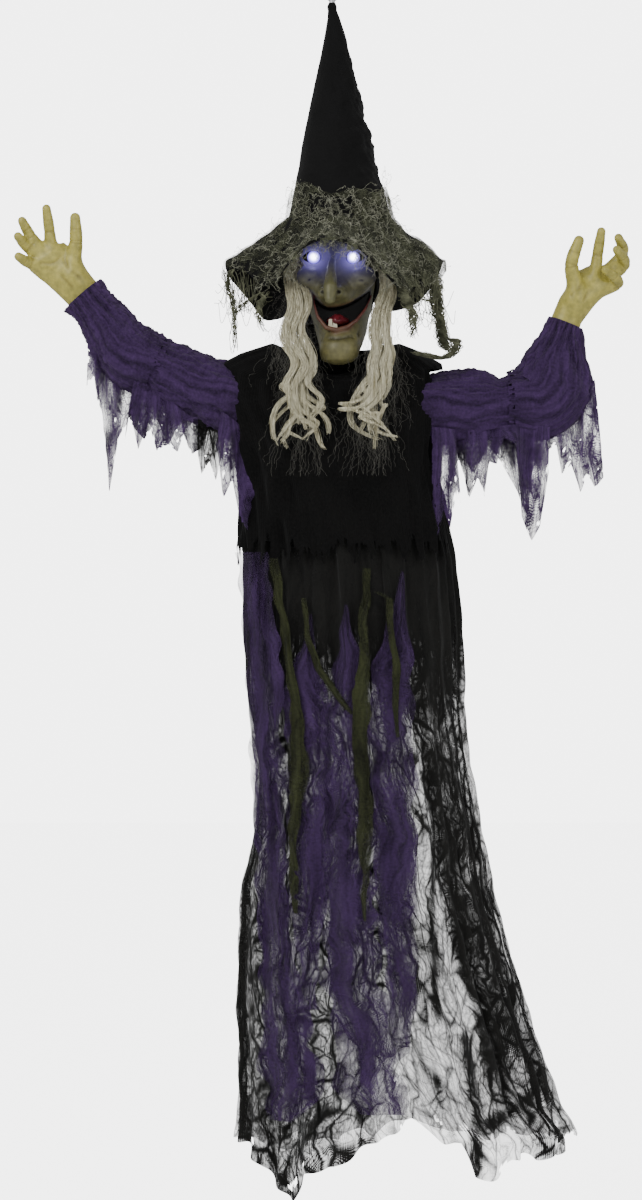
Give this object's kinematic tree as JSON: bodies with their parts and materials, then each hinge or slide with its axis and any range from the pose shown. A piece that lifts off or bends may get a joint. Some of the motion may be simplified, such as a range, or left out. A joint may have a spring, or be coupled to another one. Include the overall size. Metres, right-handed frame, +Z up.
{
  "type": "hanging animated witch figure",
  "caption": "Life-size hanging witch figure with a turning head, talking jaw, lit eyes and posable arms, in a tall pointed hat and a long ragged gauze gown.",
  "frame": {"origin": "centre of the steel hanging ring over the hat's tip", "axes": "+Z up, the figure faces -Y, its left side is at +X"},
  "size_m": [0.948, 0.3365, 1.849],
  "materials": {
    "steel": "zinc-plated satin",
    "brass": "bright",
    "black_plastic": "moulded, fine texture",
    "grey_plastic": "moulded satin",
    "white_plastic": "moulded satin",
    "gear_plastic": "moulded acetal",
    "motor_can": "drawn can",
    "battery": "plain printed sleeve",
    "circuit": "solder mask over laminate",
    "speaker_paper": "pressed paper cone in a steel frame",
    "mask_vinyl": "painted soft vinyl",
    "hand_vinyl": "moulded soft vinyl, satin",
    "tongue_vinyl": "painted soft vinyl, damp sheen",
    "tooth": "stained",
    "lens": "clear polished dome",
    "led": "lit blue-white",
    "hair": "long synthetic fibre, wavy",
    "hat_satin": "satin-faced woven",
    "moss_gauze": "shredded open-weave gauze",
    "purple_gauze": "crinkled open-weave gauze",
    "black_knit": "thin brushed knit",
    "black_gauze": "crinkled sheer gauze"
  },
  "bodies": {
    "torso": {"hanging_ring": "steel", "hanger_rod": "steel", "rod_nuts": "steel", "chest_plate": "black_plastic", "torso_front_shell": "black_plastic", "torso_back_shell": "black_plastic", "shell_screws": "steel", "neck_bush": "white_plastic", "head_motor": "motor_can", "battery_box": "black_plastic", "battery_cells": "battery", "battery_contacts": "steel", "circuit_board": "circuit", "speaker": "speaker_paper", "sound_sensor": "motor_can", "shoulder_brackets": "steel", "shoulder_pins": "steel", "bodice": "black_knit", "gown_front": "black_gauze", "gown_back": "black_gauze", "purple_strips": "purple_gauze", "moss_strips": "moss_gauze"},
    "head": {"head_spindle": "white_plastic", "head_gear": "gear_plastic", "mask_face": "mask_vinyl", "skull_shell": "grey_plastic", "skull_screws": "steel", "eye_lenses": "lens", "eye_leds": "led", "jaw_bracket": "grey_plastic", "jaw_motor": "motor_can", "jaw_hinge_pins": "steel", "hair_left": "hair", "hair_right": "hair", "hat_crown": "hat_satin", "hat_brim": "hat_satin", "hat_cloth": "moss_gauze", "hat_strands": "moss_gauze"},
    "head_pinion": {"head_pinion": "brass"},
    "jaw": {"jaw_shell": "mask_vinyl", "tongue": "tongue_vinyl", "lower_teeth": "tooth", "jaw_sector_gear": "gear_plastic"},
    "jaw_pinion": {"jaw_pinion": "brass"},
    "battery_door": {"battery_door": "black_plastic"},
    "switch_slider": {"switch_slider": "grey_plastic"},
    "right_upper_arm": {"right_upper_arm": "black_plastic", "right_elbow_pin": "steel", "right_upper_sleeve": "purple_gauze"},
    "right_forearm": {"right_forearm": "black_plastic", "right_forearm_sleeve": "purple_gauze", "right_sleeve_strips": "purple_gauze"},
    "right_hand": {"right_hand": "hand_vinyl"},
    "left_upper_arm": {"left_upper_arm": "black_plastic", "left_elbow_pin": "steel", "left_upper_sleeve": "purple_gauze"},
    "left_forearm": {"left_forearm": "black_plastic", "left_forearm_sleeve": "purple_gauze", "left_sleeve_strips": "purple_gauze"},
    "left_hand": {"left_hand": "hand_vinyl"}
  },
  "joints": [
    {"name": "head_turn", "type": "hinge", "parent": "torso", "child": "head", "pos_m": [0, 0, -0.6], "axis": [0, 0, 1], "range_deg": [-25, 25], "deforming": ["hair_left", "hair_right", "hat_strands"]},
    {"name": "head_motor_turn", "type": "hinge", "parent": "torso", "child": "head_pinion", "pos_m": [0.0375, 0, -0.64], "axis": [0, 0, 1], "range_deg": [-100, 100]},
    {"name": "jaw_open", "type": "hinge", "parent": "head", "child": "jaw", "pos_m": [0, -0.005, -0.455], "axis": [1, 0, 0], "range_deg": [-11, 3]},
    {"name": "jaw_motor_turn", "type": "hinge", "parent": "head", "child": "jaw_pinion", "pos_m": [0.0292, -0.005, -0.4235], "axis": [1, 0, 0], "range_deg": [-9.6, 35.2]},
    {"name": "battery_door_open", "type": "hinge", "parent": "torso", "child": "battery_door", "pos_m": [-0.046, 0.0524, -0.8395], "axis": [1, 0, 0], "range_deg": [0, 95]},
    {"name": "switch_slide", "type": "slide", "parent": "torso", "child": "switch_slider", "axis": [1, 0, 0], "range_m": [-0.004, 0.004]},
    {"name": "right_shoulder", "type": "hinge", "parent": "torso", "child": "right_upper_arm", "pos_m": [-0.165, 0, -0.607], "axis": [0, 1, 0], "range_deg": [-40, 15]},
    {"name": "right_elbow", "type": "hinge", "parent": "right_upper_arm", "child": "right_forearm", "pos_m": [-0.30374, 0, -0.54998], "axis": [0, 1, 0], "range_deg": [-20, 50], "deforming": ["right_sleeve_strips"]},
    {"name": "right_wrist", "type": "hinge", "parent": "right_forearm", "child": "right_hand", "pos_m": [-0.385, 0, -0.455], "axis": [-0.6501, 0, 0.7599], "range_deg": [-60, 60]},
    {"name": "left_shoulder", "type": "hinge", "parent": "torso", "child": "left_upper_arm", "pos_m": [0.165, 0, -0.62], "axis": [0, -1, 0], "range_deg": [-40, 15]},
    {"name": "left_elbow", "type": "hinge", "parent": "left_upper_arm", "child": "left_forearm", "pos_m": [0.3149, 0, -0.61458], "axis": [0, -1, 0], "range_deg": [-55, 15], "deforming": ["left_sleeve_strips"]},
    {"name": "left_wrist", "type": "hinge", "parent": "left_forearm", "child": "left_hand", "pos_m": [0.36, 0, -0.498], "axis": [0.3608, 0, 0.9326], "range_deg": [-60, 60]}
  ],
  "couplings": [
    {"joint": "head_motor_turn", "follows": "head_turn", "ratio": -4},
    {"joint": "jaw_motor_turn", "follows": "jaw_open", "ratio": -3.2}
  ]
}
